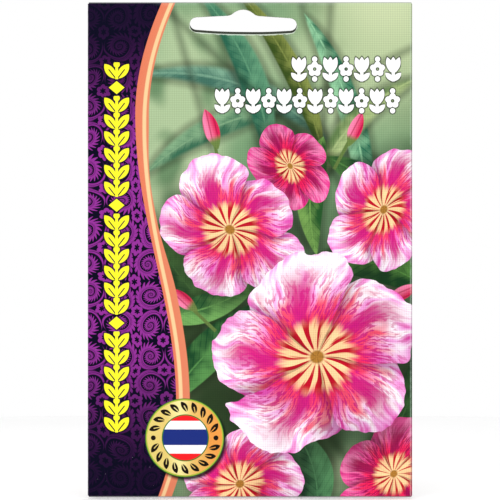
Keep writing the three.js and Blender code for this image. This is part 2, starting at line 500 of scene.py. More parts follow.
def rowPrint(under, x, z, look):  # a row of white tulips and rosettes in turn
    index, a = cell(x - look["left"], look["pitch"])
    b = z - look["rowZ"]
    side = abs(a)
    reach = length(a, b)
    petals = abs(wave(turnAt(a, b) * 2.5 + 0.125))
    rosette = most(reach - motif["rosette"] - petals * motif["rosettePetal"], motif["rosetteHole"] - reach)
    rosette = least(rosette, almond(abs(b) - motif["budOut"], a, *motif["bud"]))
    sidePetal = almond(*placed(side, b, motif["sidePetalAt"], math.radians(73)), *motif["sidePetal"])
    leaf = almond(*placed(side, b, motif["leafAt"], math.radians(45)), *motif["leaf"])
    stemX, stemZ = motif["stemHalf"]
    tulip = least(almond(b - 1.4, a, *motif["petal"]), sidePetal)
    tulip = least(tulip, length(a, b - 0.4) - motif["cup"])
    tulip = least(tulip, most(side - stemX, abs(b + 2) - stemZ))
    tulip = least(tulip, leaf)
    ends = abs(index * 2 + 1 - look["cells"]) - look["cells"]
    shape = most(mixed(index % 2, tulip, rosette), ends)
    colour = paint(under, motif["outline"], smooth(shape, 0.5, 0.1) * 0.92)
    return paint(colour, motif["white"], inside(shape))


blossomLooks = [  # middle, lean, radius, squash, spin in turns, seed and inks
    ((14, -47), 2.2, 15, 0.78, 0.08, 83, "deep"),
    ((45, -139), 0.9, 19, 0.86, 0.15, 71, "deep"),
    ((-1, -142), 0.5, 21, 0.9, 0.11, 31, "light"),
    ((42, -60), 1.1, 21.5, 0.8, 0.02, 52, "light"),
    ((-4, -66), -0.5, 25, 0.88, 0.07, 17, "light"),
    ((22, -104), 0.25, 34, 0.92, 0, 5, "light"),
]

petal = {
    "halfWidth": 0.66,
    "swirl": 0.35,
    "light": {
        "base": ink(255, 246, 254),
        "blush": ink(244, 170, 226),
        "pink": ink(226, 84, 178),
        "vein": ink(200, 26, 122),
    },
    "deep": {
        "base": ink(246, 132, 184),
        "blush": ink(232, 74, 150),
        "pink": ink(206, 34, 118),
        "vein": ink(150, 10, 78),
    },
    "hot": ink(240, 24, 82),
    "throat": ink(254, 212, 156),
    "guide": ink(190, 16, 40),
    "heart": ink(176, 122, 50),
    "fall": ink(26, 38, 20),
}


def petalWidth(index, seed, ruffled):  # how much of its width a petal has left at this reach
    shader = index.shader
    share = ruffled / (shader.chance(index % 5, seed) * 0.16 + 0.86)
    return shader.maths("SQRT", most(1 - share ** 3.4, 0.0001)) * petal["halfWidth"] - 0.012


def blossomPrint(under, u, v, look):  # u and v are on the blossom's own axes
    shader = u.shader
    radius, seed = look["radius"], look["seed"]
    u = u / radius
    v = v / (radius * look["squash"])
    slow = shader.noise(0.07)
    reach = length(u, v)
    fine = shader.noise(0.25)
    ruffled = reach * ((fine - 0.5) * 0.11 + 1)
    part = (turnAt(u, v) + look["spin"]) * 5 + reach * petal["swirl"] + (slow - 0.5) * reach * 0.7
    index = floor(part)
    off = part - index - 0.5
    topEdge = petalWidth(index + 1, seed, ruffled) - abs(off - 1)
    ownEdge = petalWidth(index, seed, ruffled) - abs(off)
    lowEdge = petalWidth(index - 1, seed, ruffled) - abs(off + 1)
    onTop = topEdge > 0
    onOwn = ownEdge > 0
    across = mixed(onTop, mixed(onOwn, off + 1, off), off - 1)
    edge = mixed(onTop, mixed(onOwn, lowEdge, ownEdge), topEdge)
    whole = inside(-edge, 0.02)
    shadow = mixed(onTop, smooth(-topEdge, 0, 0.22) * mixed(onOwn, smooth(-ownEdge, 0, 0.2), 1), 1)

    streak = shader.noise(0.1, 1, 0.6, across * 112 + index * 31)
    hair = shader.noise(0.42, 1, 0.5, across * 105 + index * 26)
    rim = smooth(edge, 0.3, 0)
    flush = smooth(reach, 0.78, 0.3)
    pinkness = rim * 0.3 + (streak - 0.46) * 2.3 * smooth(reach, 0.14, 0.6) + flush * 0.35
    colour = paint(look["base"], look["blush"], smooth(pinkness, 0, 0.5))
    colour = paint(colour, look["pink"], smooth(pinkness, 0.38, 0.9))
    colour = paint(colour, petal["hot"], smooth(reach + (streak - 0.5) * 0.8, 0.7, 0.42) * 0.92)
    veins = smooth(hair, 0.5, 0.57) * smooth(reach, 0.2, 0.36) * smooth(reach, 1.02, 0.5)
    colour = paint(colour, look["vein"], veins * 0.85)
    middle = smooth(abs(across) + (streak - 0.5) * 0.2, 0.17, 0.05)
    middle = middle * smooth(reach, 0.14, 0.3) * smooth(reach, 0.95, 0.62)
    colour = paint(colour, look["vein"], middle * 0.9)
    throat = smooth(reach + (streak - 0.5) * 0.2, 0.38, 0.26)
    colour = paint(colour, petal["throat"], throat)
    guides = smooth(wave(part * 3 + (streak - 0.5)), 0.15, 0.7)
    guides = guides * smooth(reach, 0.44, 0.28) * smooth(reach, 0.05, 0.1)
    colour = paint(colour, petal["guide"], guides)
    colour = paint(colour, petal["heart"], smooth(reach, 0.075, 0.05))
    light = (v - u) * 0.08 + across * 0.18 + (slow - 0.5) * 0.5 + 1
    colour = shaded(colour, light * (shadow * 0.5 + 0.5))
    fall = smooth(length(u - 0.08, v + 0.12), 1.15, 0.6) * 0.7
    return paint(paint(under, petal["fall"], fall), colour, whole)


leafLooks = [  # root, tip, half width, arch, dark, light and blur
    ((-34, -20), (26, -40), 4.6, 8, ink(62, 108, 92), ink(120, 164, 138), 2),
    ((-30, -50), (12, -30), 4.4, 4, ink(54, 104, 78), ink(128, 168, 128), 1.6),
    ((-14, 6), (8, -46), 5, 5, ink(38, 96, 74), ink(96, 152, 116), 1.2),
    ((-4, 8), (24, -44), 3.8, 4, ink(54, 76, 26), ink(128, 140, 70), 0.7),
    ((36, -76), (18, -1), 4.4, -7, ink(34, 102, 76), ink(150, 206, 160), 1),
    ((54, -20), (22, -52), 4.4, -5, ink(90, 120, 70), ink(170, 190, 130), 2.4),
    ((-30, -58), (2, -98), 6, -5, ink(30, 62, 34), ink(76, 116, 62), 1),
    ((54, -72), (24, -44), 5.2, -4, ink(26, 64, 36), ink(84, 132, 66), 0.8),
    ((12, -86), (-23, -118), 6.4, -3, ink(20, 66, 36), ink(88, 146, 78), 0.5),
    ((6, -80), (-27, -92), 5, 3, ink(28, 78, 42), ink(112, 166, 90), 0.4),
    ((20, -76), (56, -84), 6, 4, ink(18, 58, 28), ink(90, 142, 66), 0.4),
    ((22, -74), (24, -38), 5, 3, ink(34, 82, 38), ink(126, 172, 88), 0.5),
    ((54, -98), (34, -142), 6, 4, ink(20, 56, 32), ink(70, 120, 60), 0.6),
    ((14, -124), (22, -152), 6.5, 3, ink(18, 56, 38), ink(84, 140, 92), 0.5),
]


def leafPrint(under, along, across, look):
    share = along / look["span"]
    swell = most(share * (1 - share), 0) * 4
    offset = across - swell * look["arch"]
    half = (swell * (share * 0.5 + 0.6)) ** 0.75 * look["halfWidth"]
    gap = abs(offset) - half + 0.15
    shape = smooth(gap, look["blur"] * 0.25, look["blur"] * -0.75)
    rib = smooth(abs(offset), look["blur"] * 0.2 + 0.45, 0)
    sideVeins = smooth(wave((along + abs(offset) * 1.2) / 2.6), 0.75, 1) * 0.16
    sheen = along.shader.noise(0.22)
    tone = smooth(offset / look["halfWidth"] + (sheen - 0.5) * 2.4, -0.9, 0.9)
    colour = paint(look["dark"], look["light"], most(tone, rib * 0.85) - sideVeins)
    fall = smooth(gap, 2.6, 0) * 0.45
    return paint(paint(under, petal["fall"], fall), colour, shape)


budLooks = [  # middle, tilt and half length
    ((-9.5, -36), 1.9, 6.4),
    ((33.5, -36), 1.2, 5.6),
    ((-18, -87), 2.5, 5.6),
    ((47.5, -85), 0.5, 5.4),
]

budInks = {
    "stem": ink(96, 120, 62),
    "cup": ink(104, 128, 66),
    "dark": ink(214, 34, 84),
    "light": ink(246, 130, 170),
    "seam": ink(160, 14, 60),
}


def budPrint(under, along, across, look):
    half = look["half"]
    shape = almond(along + across * 0.1, across, half, half * 0.36)
    stem = most(abs(across + along * 0.12) - 0.5, most(along + half * 0.6, -along - half * 2.4))
    colour = paint(under, budInks["stem"], inside(stem, 0.3))
    tone = smooth(along / half, -1, 1)
    skin = paint(budInks["dark"], budInks["light"], smooth(across, -1.6, 1.6))
    skin = paint(skin, budInks["seam"], smooth(wave(across * 0.55 + along * 0.06), 0.5, 1) * 0.6)
    skin = paint(budInks["cup"], skin, smooth(tone, 0.08, 0.3))
    return paint(colour, skin, inside(shape, 0.25))


backdrop = {
    "base": ink(116, 152, 112),
    "pale": ink(168, 190, 148),
    "dark": ink(84, 122, 84),
    "corner": ink(180, 196, 152),
    "cornerAt": (46, -6),
    "tip": ink(204, 216, 172),
    "tipAt": (42, 4),
    "deep": ink(36, 54, 28),
    "deepAt": (8, -104),
}


def backdropPrint(under, x, z, look):  # out-of-focus greens
    def near(spot, far, close, wide=1):
        return smooth(length((x - spot[0]) * wide, z - spot[1]), far, close)

    close = x.shader.noise(0.07)
    colour = paint(under, backdrop["pale"], smooth(x.shader.noise(0.028), 0.42, 0.62))
    colour = paint(colour, backdrop["dark"], smooth(close, 0.5, 0.72) * 0.85)
    colour = paint(colour, backdrop["corner"], near(backdrop["cornerAt"], 44, 6) * 0.85)
    colour = paint(colour, backdrop["tip"], near(backdrop["tipAt"], 22, 3) * 0.7)
    deep = near(backdrop["deepAt"], 64, 20, 0.8) * smooth(close, 0.18, 0.5)
    return paint(colour, backdrop["deep"], deep * 0.95)


# the halftone screen, the pale worn and torn edges, a grey line at the top and bottom edges, and the
# painted shade along the right edge
wearAndShade = {
    "foldLine": 0.3,
    "grey": ink(142, 144, 142),
    "worn": 0.34,
    "screen": 0.68,
    "screenDepth": 0.06,
    "slotRim": 0.62,
    "torn": ink(226, 236, 224),
    "pale": ink(206, 230, 214),
    "paleLeft": ink(226, 220, 236),
}


def slotRim(x, z):  # the pale torn edge that the punch leaves below the slot
    corner, drop = euroSlot["corner"]
    radius = euroSlot["halfWidth"] - corner
    sag = (drop - euroSlot["bellyZ"]) / 2
    over = most(abs(x) - corner, 0)
    level = z + most(x, 0) * euroSlot["tilt"]
    belly = sag - least(x * x, corner ** 2) * (sag / corner ** 2)
    reach = length(over, least(level - drop - radius + belly, 0)) - radius
    ragged = x.shader.noise(0.9, 2)
    low = smooth(level, euroSlot["endZ"] + 0.4, euroSlot["endZ"] - 1.6)
    return inside(reach - ragged * wearAndShade["slotRim"], 0.14) * low


def wearAndShadePrint(under, x, z, look):  # pale worn lines along the folds; outside them, painted shade along the right edge and a grey line along the top and bottom edges
    colour = paint(under, wearAndShade["torn"], slotRim(x, z) * 0.68)
    patchy = smooth(x.shader.noise(0.5, 2), 0.3, 0.62)
    top = packet["top"] - z
    right = packet["right"] - x
    left = x - packet["left"]
    bottom = z - packet["bottom"]
    line, worn = wearAndShade["foldLine"], wearAndShade["worn"]
    beside = inside(abs(right - line - worn / 2) - worn / 2, 0.1)
    below = inside(abs(top - line - worn) - worn, 0.1) * 0.35
    pale = most(beside, below) * (patchy * 0.2 + 0.06) * smooth(x, -28, -20)
    colour = paint(colour, wearAndShade["pale"], pale)
    colour = paint(colour, wearAndShade["paleLeft"], inside(left - 0.14, 0.1) * (patchy * 0.25 + 0.05))
    # painted shade: the strip along the right edge is darkened
    colour = shaded(colour, 1 - inside(right - line, 0.1) * 0.4)
    # a grey line along the top and bottom edges
    return paint(colour, wearAndShade["grey"], inside(least(top, bottom) - line, 0.12) * 0.7)


def picture(x, z):
    colour = stamp(backdropPrint, backdrop["base"], x, z)
    for root, tip, *values in leafLooks:
        run = Vector(tip) - Vector(root)
        look = dict(zip(("span", "halfWidth", "arch", "dark", "light", "blur"), (run.length, *values)))
        colour = stamp(leafPrint, colour, *placed(x, z, root, math.atan2(run.y, run.x)), look)
    for middle, tilt, half in budLooks:
        colour = stamp(budPrint, colour, *placed(x, z, middle, tilt), {"half": half})
    for middle, lean, *values, inks in blossomLooks:
        look = {**dict(zip(("radius", "squash", "spin", "seed"), values)), **petal[inks]}
        colour = stamp(blossomPrint, colour, *placed(x, z, middle, lean), look)
    dots = wave(x / wearAndShade["screen"]) + wave(z / wearAndShade["screen"])
    return shaded(colour, dots * wearAndShade["screenDepth"] + 1)


def frontPrint():
    shader = newMaterial("front print")
    x, z = shader.place()
    colour = picture(x, z)
    for row in flowerRows:
        colour = stamp(rowPrint, colour, x, z, row)
    for draw in (bandPrint, badgePrint, wearAndShadePrint):
        colour = stamp(draw, colour, x, z)
    return finish(colour, 0.44, 0.05, shader.noise(2.2, 3), 0.006)


# The back and the plain paper

back = {
    "paper": ink(247, 245, 238),
    "grain": ink(240, 236, 226),
    "middle": (1, -73),
    "frameHalf": (44.5, 58),
    "frameLine": 0.5,
    "frame": ink(120, 40, 128),
    "headZ": -32,
    "rosette": 7.5,
    "rosetteHeart": 2.4,
    "ring": 9.3,
    "sprigFrom": 23,
    "sprigHalf": 11.5,
    "ruleTop": -84,
    "ruleBottom": -124,
    "rulePitch": 5,
    "ruleHalf": 38,
    "rule": ink(150, 148, 156),
    "iconZ": -62,
    "iconPitch": 20,
    "tileHalf": 5,
    "tileRound": 1.6,
    "icons": ink(92, 132, 74),
}


def backDesign(under, x, z, look):
    a = x - back["middle"][0]
    across = abs(a)
    down = abs(z - back["middle"][1])
    frameX, frameZ = back["frameHalf"]
    colour = paint(under, back["grain"], x.shader.noise(0.05, 2))
    border = abs(most(across - frameX, down - frameZ))
    colour = paint(colour, back["frame"], inside(border - back["frameLine"]))
    colour = paint(colour, stripe["orange"], inside(abs(border - 1.5) - 0.2))

    headZ = z - back["headZ"]
    reach = length(across, headZ)
    rosette = reach - back["rosette"] + abs(wave(turnAt(across, headZ) * 3)) * 2
    ring = abs(reach - back["ring"]) - 0.3
    leaf = almond(*turned(cell(across + 13, 5)[1], abs(headZ) - 1.6, 0.7), 2.5, 0.9)
    sprig = least(leaf, abs(headZ) - 0.25)
    sprig = most(sprig, abs(across - back["sprigFrom"]) - back["sprigHalf"])
    colour = paint(colour, petal["light"]["pink"], inside(rosette))
    colour = paint(colour, petal["throat"], inside(reach - back["rosetteHeart"]))
    colour = paint(colour, back["icons"], inside(least(ring, sprig)))

    pitch, half = back["iconPitch"], back["tileHalf"]
    iconIndex, iconX = cell(a + 2 * pitch, pitch)
    iconZ = z - back["iconZ"]
    tile = length(most(abs(iconX) - half, 0), most(abs(iconZ) - half, 0)) - back["tileRound"]
    tile = most(tile, across - 2 * pitch)
    iconReach = length(iconX, iconZ)
    rays = most(iconReach - 5.2 + abs(wave(turnAt(iconX, iconZ) * 4)) * 1.8, 2.9 - iconReach)
    sun = least(iconReach - 2.3, rays)
    drop = length(iconX, iconZ + 1.3 - most(iconZ + 1.3, 0) * 0.6) - 2.9
    drop = most(drop, abs(iconX) + iconZ * 0.62 - 3)
    pot = most(abs(iconX) - 2.9 - iconZ * 0.25, abs(iconZ + 2) - 2.6)
    pot = least(pot, almond(iconZ - 2.6, iconX, 2.4, 0.9))
    seed = almond(iconX + iconZ * 0.4, iconZ - iconX * 0.4, 4.6, 1.5)
    mark = mixed(iconIndex > 0.5, sun, drop)
    mark = mixed(iconIndex > 1.5, mark, pot)
    mark = mixed(iconIndex > 2.5, mark, seed)
    colour = paint(colour, back["icons"], inside(tile))
    colour = paint(colour, back["paper"], inside(mark) * inside(tile))

    top, bottom = back["ruleTop"], back["ruleBottom"]
    offRule = abs(cell(z - bottom, back["rulePitch"])[1]) - 0.12
    ends = most(across - back["ruleHalf"], abs(z - (top + bottom) / 2) - (top - bottom) / 2)
    return paint(colour, back["rule"], inside(most(offRule, ends), 0.1) * 0.8)


def flapDesign(under, x, z, look):
    top = packet["top"] - packet["topFlap"]
    bottom = packet["bottom"] + packet["bottomFlap"]
    colour = paint(under, band["bright"], scrollwork(x, z) * 0.8)
    reach = abs(z - (top + bottom) / 2) - (top - bottom) / 2
    colour = paint(colour, stripe["orange"], inside(reach - 1.2, 0.15))
    return paint(colour, stripe["cream"], inside(abs(reach - 0.6) - 0.2))


def plainSide(name, draw, base):
    shader = newMaterial(name)
    colour = stamp(draw, base, *shader.place())
    return finish(colour, 0.5, 0.12, shader.noise(2.2, 3), 0.008)


slotShade = {  # the painted shade in the depth of the slot: its middle, half height, colour and strength
    "halfWidth": 17.5,
    "inside": (euroSlot["endZ"], 4.2, ink(40, 48, 36), 0.96),
    "cut": (euroSlot["endZ"] - 2.6, 1.4, ink(60, 66, 56), 0.85),
}


# paints shade over bare paper in the depth of the slot
def shadedSlot(colour, x, z, middle, half, shade, strength):
    deep = inside(abs(z - middle) - half, 0.3) * inside(abs(x) - slotShade["halfWidth"], 0.3)
    return paint(colour, shade, deep * strength)


def insidePaper():
    shader = newMaterial("inside paper")
    fibres = shader.noise(1.2, 3)
    colour = paint(ink(236, 233, 224), ink(222, 218, 206), fibres)
    # painted shade in the depth of the slot
    colour = shadedSlot(colour, *shader.place(), *slotShade["inside"])
    return finish(colour, 0.8, 0.1, fibres, 0.01)


def cutPaper():
    shader = newMaterial("cut paper")
    colour = paint(ink(244, 242, 234), ink(226, 222, 210), shader.noise(1.4, 2))
    # painted shade in the depth of the slot
    colour = shadedSlot(colour, *shader.place(), *slotShade["cut"])
    return finish(colour, 0.85, 0.08)


# The sheet of paper

def foldLine(edge, layer, side, upright):  # a fold at an edge, from the front's layer to another
    radius = (packet[layer] - packet["frontLayer"]) / 2
    at = packet[edge] - side * (radius + packet["paper"] / 2)
    y = packet["frontLayer"] + radius
    return {"at": at, "y": y, "radius": radius, "side": side, "upright": upright}


folds = {
    "leftFold": foldLine("left", "backLayer", -1, True),
    "rightFold": foldLine("right", "sideLayer", 1, True),
    "topFold": foldLine("top", "flapLayer", 1, False),
    "bottomFold": foldLine("bottom", "flapLayer", -1, False),
}
leftX, rightX, topZ, bottomZ = (fold["at"] for fold in folds.values())
betweenFront = (packet["frontLayer"] + packet["sideLayer"]) / 2
betweenBack = (packet["backLayer"] + packet["flapLayer"]) / 2
seamX = packet["right"] - packet["sideFlap"]
seeds = [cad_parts["seed_" + str(number)] for number in range(1, 6)]
seedSpots = [sum(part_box(seed.name), Vector()) / (2 * mm) for seed in seeds]


def pastFold(fold, c):  # how far a place is past a fold's centre line
    return ((c.x if fold["upright"] else c.z) - fold["at"]) * fold["side"]


def only(kind, geom):  # the verts, edges or faces of what an operator returns
    return [g for g in geom if isinstance(g, kind)]


def foldOver(bm, fold):  # spins the front's open edges at a fold round its centre line
    def onFold(c):
        return pastFold(fold, c) > -1e-3 and abs(c.y - packet["frontLayer"]) < 1e-3

    upright = fold["upright"]
    edges = [e for e in bm.edges if e.is_boundary and all(onFold(v.co) for v in e.verts)]
    centre = (fold["at"], fold["y"], 0) if upright else (0, fold["y"], fold["at"])
    axis = (0, 0, 1) if upright else (-1, 0, 0)
    angle = fold["side"] * math.pi
    steps = packet["foldSteps"]
    made = bmesh.ops.spin(bm, geom=edges, cent=centre, axis=axis, angle=angle, steps=steps)
    return only(BMEdge, made["geom_last"])


def runOut(bm, edges, step, count, squeeze=1):  # extends a panel from its open edges
    middle = Matrix.Translation((-(leftX + rightX) / 2, 0, 0))
    for _ in range(count):
        made = bmesh.ops.extrude_edge_only(bm, edges=edges)
        edges = only(BMEdge, made["geom"])
        verts = only(BMVert, made["geom"])
        bmesh.ops.translate(bm, verts=verts, vec=step)
        bmesh.ops.scale(bm, verts=verts, vec=(squeeze, 1, 1), space=middle)


def foldedSheet():
    bm = bmesh.new()
    width = rightX - leftX
    height = topZ - bottomZ
    columns = round(width / packet["pitch"])
    rows = round(height / packet["pitch"])
    bmesh.ops.create_grid(bm, x_segments=columns, y_segments=rows, size=0.5)
    middle = Matrix.Translation(((leftX + rightX) / 2, packet["frontLayer"], (topZ + bottomZ) / 2))
    stretch = Matrix.Diagonal((width, height, 1, 1))
    bmesh.ops.transform(bm, matrix=middle @ Matrix.Rotation(math.pi / 2, 4, "X") @ stretch, verts=bm.verts)

    flapStart = packet["flapLayer"] + packet["paper"] / 2
    runs = {
        "leftFold": packet["right"] - packet["flapInset"] - leftX,
        "rightFold": packet["sideFlap"] - (packet["right"] - rightX),
        "topFold": packet["topFlap"] - flapStart,
        "bottomFold": packet["bottomFlap"] - flapStart,
    }
    for name, run in runs.items():
        fold = folds[name]
        steps = round(run / packet["pitch"])
        step = -fold["side"] * run / steps
        edges = foldOver(bm, fold)
        if fold["upright"]:
            runOut(bm, edges, (step, 0, 0), steps)
        else:
            runOut(bm, edges, (0, 0, step), steps, (1 - 2 * packet["flapTaper"] / width) ** (1 / steps))
    bmesh.ops.recalc_face_normals(bm, faces=bm.faces)
    return bm


def swellAcross(x, left, right):
    offCentre = abs((2 * x - left - right) / (right - left))
    return max(0, 1 - offCentre ** packet["sideFullness"])


def swellDown(z, bottom):
    down = (packet["pouchTop"] - z) / (packet["pouchTop"] - bottom)
    if down <= 0 or down >= 1:
        return 0
    if down < packet["swellPeak"]:
        return (1 - math.cos(math.pi * down / packet["swellPeak"])) / 2
    return 1 - ((down - packet["swellPeak"]) / (1 - packet["swellPeak"])) ** packet["endFullness"]


def seedBump(x, z):
    halfX, halfZ = packet["seedBumpHalf"]
    near = (math.exp(-((x - s.x) / halfX) ** 2 - ((z - s.z) / halfZ) ** 2) for s in seedSpots)
    return packet["seedBump"] * sum(near)


def sheetShift(x, y, z):  # how far the filled packet pushes a place on the flat one towards +Y
    left = packet["left"] + packet["flapInset"]
    right = packet["right"] - packet["flapInset"]
    scale = packet["waveScale"]
    shift = noise.noise(Vector((x * scale, z * scale, 3))) * packet["waviness"]
    if y < betweenFront:
        full = swellAcross(x, left, right) * swellDown(z, packet["bottom"] + 1)
        scaleX, scaleZ = packet["creaseScale"]
        crease = noise.noise(Vector((x * scaleX, z * scaleZ, 9))) * packet["waviness"]
        return shift - (packet["swell"] - crease + seedBump(x, z)) * full
    if 0 < y < betweenBack and x < seamX:
        full = swellAcross(x, left, seamX) * swellDown(z, packet["bottom"] + packet["bottomFlap"])
        return shift + (packet["swell"] + seedBump(x, z)) * full
    if y > betweenBack:
        fromTop = (packet["top"] - z) / packet["topFlap"]
        fromBottom = (z - packet["bottom"]) / packet["bottomFlap"]
        return shift + packet["flapLift"] * max(0, min(fromTop, fromBottom)) ** 3
    return shift


def addObject(name, data):
    made = bpy.data.objects.new(name, data)
    bpy.context.scene.collection.objects.link(made)
    return made


def meshObject(name, bm):
    mesh = bpy.data.meshes.new(name)
    bmesh.ops.transform(bm, matrix=Matrix.Scale(mm, 4), verts=bm.verts)
    bm.to_mesh(mesh)
    bm.free()
    return addObject(name, mesh)


def applyModifiers(made):
    shown = made.evaluated_get(bpy.context.evaluated_depsgraph_get())
    mesh = bpy.data.meshes.new_from_object(shown)
    made.modifiers.clear()
    old, made.data = made.data, mesh
    bpy.data.meshes.remove(old)


def slotOutline(backShift):
    look = euroSlot
    steps = look["curveSteps"]

    def curve(start, bend, end):
        def along(t, a, b, c):
            return (1 - t) ** 2 * a + 2 * t * (1 - t) * b + t * t * c
        return [tuple(along(i / steps, *axis) for axis in zip(start, bend, end)) for i in range(steps)]

    def onHump(angle):
        radius = look["humpRadius"]
        return radius * math.sin(angle), look["humpTop"] + radius * (math.cos(angle) - 1)

    halfAngle = look["humpHalfAngle"]
    end = (look["halfWidth"], look["endZ"])
    shoulder = look["shoulder"]
    corner = look["corner"]
    mirrored = (-corner[0], corner[1])
    right = curve(onHump(halfAngle), look["fillet"], look["neck"])
    right += curve(shoulder, (look["halfWidth"], shoulder[1]), end)
    right += curve(end, (look["halfWidth"], corner[1]), corner)
    belly = curve(corner, (0, look["bellyZ"]), mirrored)
    left = [mirrored] + [(-x, z) for x, z in right[::-1]]
    hump = [onHump(halfAngle * (2 * i / steps - 1)) for i in range(1, steps)]
    outline = [(x, z - look["tilt"] * max(0, x)) for x, z in right + belly + left + hump]
    return [(x, z + backShift * min(1, max(0, look["endZ"] - z))) for x, z in outline]


def slotCutter(name, nearY, farY, backShift):
    bm = bmesh.new()
    face = bm.faces.new([bm.verts.new((x, nearY, z)) for x, z in slotOutline(backShift)])
    made = bmesh.ops.extrude_face_region(bm, geom=[face])
    bmesh.ops.translate(bm, verts=only(BMVert, made["geom"]), vec=(0, farY - nearY, 0))
    bmesh.ops.recalc_face_normals(bm, faces=bm.faces)
    return meshObject(name, bm)


def packetSleeve():
    sleeve = meshObject("packetSleeve", foldedSheet())
    thick = sleeve.modifiers.new("thickness", "SOLIDIFY")
    thick.thickness = packet["paper"] * mm
    thick.offset = 0
    cutters = [
        slotCutter("frontCutter", -2, betweenFront, 0),
        slotCutter("backCutter", betweenFront, 2, euroSlot["backShift"]),
    ]
    for cutter in cutters:
        cut = sleeve.modifiers.new("slot", "BOOLEAN")
        cut.object = cutter
        cut.operation = "DIFFERENCE"
        cut.solver = "MANIFOLD"
    applyModifiers(sleeve)
    for cutter in cutters:
        bpy.data.meshes.remove(cutter.data)
    return sleeve


sheetPanels = ("front", "back", "sideFlap", "topFlap", "bottomFlap") + tuple(folds)


def panelAt(c):  # which part of the flat-folded sheet a place is on
    for name, fold in folds.items():
        if pastFold(fold, c) > 1e-4:
            return name
    if c.y < betweenFront:
        return "front"
    if c.y < 0:
        return "sideFlap"
    if c.y < betweenBack:
        return "back"
    return "topFlap" if c.z > (topZ + bottomZ) / 2 else "bottomFlap"


def sideOf(panel, c, normal):
    if panel not in folds:
        if abs(normal.y) < 0.5:
            return "cut"
        return "printed" if (normal.y < 0) == (panel == "front") else "bare"
    fold = folds[panel]
    along, outward = (normal.z, normal.x) if fold["upright"] else (normal.x, normal.z)
    if abs(along) > 0.7:
        return "cut"
    facing = outward * fold["side"] * pastFold(fold, c) + normal.y * (c.y - fold["y"])
    return "printed" if facing > 0 else "bare"


def unfolded(panel, c):  # a place's spot on the sheet laid flat, seen from its printed side
    if panel == "front":
        return c.x, c.z
    if panel not in folds:
        return -c.x, c.z
    fold = folds[panel]
    turn = math.atan2(max(pastFold(fold, c), 0), fold["y"] - c.y)
    spread = fold["at"] + fold["side"] * turn * fold["radius"]
    return (spread, c.z) if fold["upright"] else (c.x, spread)


bakeMap = {  # each island's scale and lower left corner on the sleeve's own bake map
    "unit": 1 / 150.6,
    "printed": {
        "front": (1, 0.002, 0.003),
        "back": (0.5, 0.662, 0.507),
        "topFlap": (0.5, 0.662, 0.206),
        "bottomFlap": (0.5, 0.662, 0.164),
        "sideFlap": (0.25, 0.662, 0.117),
    },
    "bare": {
        "front": (0.25, 0.662, 0.254),
        "back": (0.25, 0.828, 0.254),
        "topFlap": (0.25, 0.662, 0.137),
        "bottomFlap": (0.25, 0.828, 0.137),
        "sideFlap": (0.25, 0.662, 0.098),
    },
    "cutSpan": 245,
    "cutLeft": 0.662,
    "cutWidth": 0.32,
    "cutPitch": 0.0102,
    "slotHalf": 17,
    "slotFoot": -9,
    "slotRadius": 19,
    "slotStart": 70,
    "edgeStart": 52,
}


def cutSpot(panel, c):  # a cut edge's place in the map's bottom strips
    if abs(c.x) < bakeMap["slotHalf"] and bakeMap["slotFoot"] < c.z < 1:
        turn = math.atan2(c.z - euroSlot["endZ"], c.x)
        along = turn * bakeMap["slotRadius"] - bakeMap["slotStart"]
    else:
        along = c.x + c.z - bakeMap["edgeStart"]
    if panel in folds:
        fold = folds[panel]
        depth = math.hypot(pastFold(fold, c), c.y - fold["y"]) - fold["radius"]
    else:
        layers = {"front": "frontLayer", "back": "backLayer", "sideFlap": "sideLayer"}
        depth = c.y - packet[layers.get(panel, "flapLayer")]
    strip = sheetPanels.index(panel) + 0.5 + 0.6 * depth / packet["paper"]
    u = bakeMap["cutLeft"] + bakeMap["cutWidth"] * (1 + along / bakeMap["cutSpan"])
    return u, 0.002 + strip * bakeMap["cutPitch"]


def mapSleeve(bm):
    layer = bm.loops.layers.uv.new("OFBake")
    corners = {}
    spots = []
    for f in bm.faces:
        c = f.calc_center_median() / mm
        panel = panelAt(c)
        side = sideOf(panel, c, f.normal)
        island = "front" if panel in folds else panel
        printed = {"front": 0, "back": 1, "sideFlap": 2}
        f.material_index = {"cut": 3, "bare": 2}.get(side, printed.get(island, 4))
        for loop in f.loops:
            place = loop.vert.co / mm
            if side == "cut":
                loop[layer].uv = cutSpot(panel, place)
                continue
            spot = unfolded(panel, place)
            if island == "sideFlap":
                spot = spot[::-1]
            low = corners.get((side, island), spot)
            corners[side, island] = tuple(map(min, low, spot))
            spots.append((loop, side, island, spot))
    for loop, side, island, spot in spots:
        scale, left, bottom = bakeMap[side][island]
        low = corners[side, island]
        reach = scale * bakeMap["unit"]
        loop[layer].uv = (left + (spot[0] - low[0]) * reach, bottom + (spot[1] - low[1]) * reach)


def dressSleeve(sleeve):
    sleeve.data.materials.clear()
    backPrint = plainSide("back print", backDesign, back["paper"])
    flapPrint = plainSide("flap print", flapDesign, band["dark"])
    for material in (frontPrint(), backPrint, insidePaper(), cutPaper(), flapPrint):
        sleeve.data.materials.append(material)
    bm = bmesh.new()
    bm.from_mesh(sleeve.data)
    bmesh.ops.recalc_face_normals(bm, faces=bm.faces)
    bm.normal_update()
    mapSleeve(bm)
    for v in bm.verts:
        v.co.y += sheetShift(*(v.co / mm)) * mm
    for f in bm.faces:
        f.smooth = True
    for e in bm.edges:
        e.smooth = e.calc_face_angle(0) < math.radians(35)
    bm.to_mesh(sleeve.data)
    bm.free()
    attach(sleeve, "root")
    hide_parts("packet_sleeve")


sleeve = packetSleeve()
dressSleeve(sleeve)
print("Sheet folded and printed:", len(sleeve.data.polygons), "faces")


# Seeds and glue

